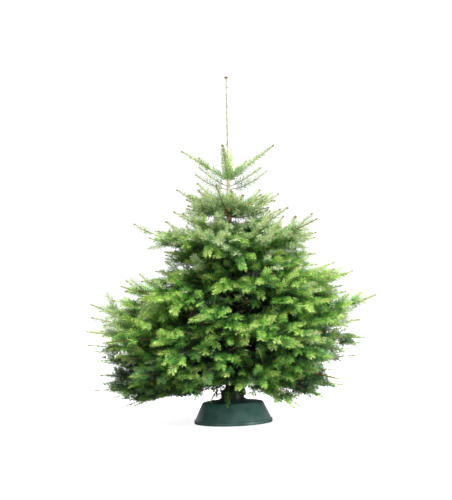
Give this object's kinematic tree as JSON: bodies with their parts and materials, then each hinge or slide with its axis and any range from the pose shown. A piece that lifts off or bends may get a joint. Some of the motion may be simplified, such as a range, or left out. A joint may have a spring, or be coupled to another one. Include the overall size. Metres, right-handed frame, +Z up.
{
  "type": "christmas tree",
  "caption": "Cut fir tree with whorls of upswept boughs in dense green needles under a long bare leader, clamped upright in a tapered round plastic stand.",
  "frame": {"origin": "centre of the stand's flat underside, on the floor", "axes": "+Z up along the trunk, +X to the right and -Y towards the front of the tree as it is seen"},
  "size_m": [1.4689, 1.3085, 1.81],
  "materials": {
    "bark": "rough grey-brown bark",
    "foliage": "dense waxy green needles",
    "young_foliage": "pale young needles on thin shoots",
    "stand_plastic": "moulded satin dark green",
    "clamp_plastic": "moulded satin near-black green"
  },
  "bodies": {
    "root": {"bough_bottom_1": "bark", "bough_bottom_2": "bark", "bough_bottom_3": "bark", "bough_bottom_4": "bark", "bough_low_1": "bark", "bough_low_2": "bark", "bough_low_3": "bark", "bough_low_4": "bark", "bough_low_5": "bark", "bough_middle_1": "bark", "bough_middle_2": "bark", "bough_middle_3": "bark", "bough_middle_4": "bark", "bough_shoulder_1": "bark", "bough_shoulder_2": "bark", "bough_shoulder_3": "bark", "bough_shoulder_4": "bark", "bough_upper_1": "bark", "bough_upper_2": "bark", "bough_upper_3": "bark", "bough_upper_4": "bark", "bough_wide_1": "bark", "bough_wide_2": "bark", "bough_wide_3": "bark", "bough_wide_4": "bark", "foliage_bottom_1": "foliage", "foliage_bottom_2": "foliage", "foliage_bottom_3": "foliage", "foliage_bottom_4": "foliage", "foliage_low_1": "foliage", "foliage_low_2": "foliage", "foliage_low_3": "foliage", "foliage_low_4": "foliage", "foliage_low_5": "foliage", "foliage_middle_1": "foliage", "foliage_middle_2": "foliage", "foliage_middle_3": "foliage", "foliage_middle_4": "foliage", "foliage_shoulder_1": "foliage", "foliage_shoulder_2": "foliage", "foliage_shoulder_3": "foliage", "foliage_shoulder_4": "foliage", "foliage_upper_1": "foliage", "foliage_upper_2": "foliage", "foliage_upper_3": "foliage", "foliage_upper_4": "foliage", "foliage_wide_1": "foliage", "foliage_wide_2": "foliage", "foliage_wide_3": "foliage", "foliage_wide_4": "foliage", "internode_shoot_1": "young_foliage", "internode_shoot_2": "young_foliage", "stand_body": "stand_plastic", "stand_clamp": "clamp_plastic", "top_shoot_1": "young_foliage", "top_shoot_2": "young_foliage", "top_shoot_3": "young_foliage", "top_shoot_4": "young_foliage", "top_shoot_5": "young_foliage", "trunk": "bark"}
  },
  "joints": []
}
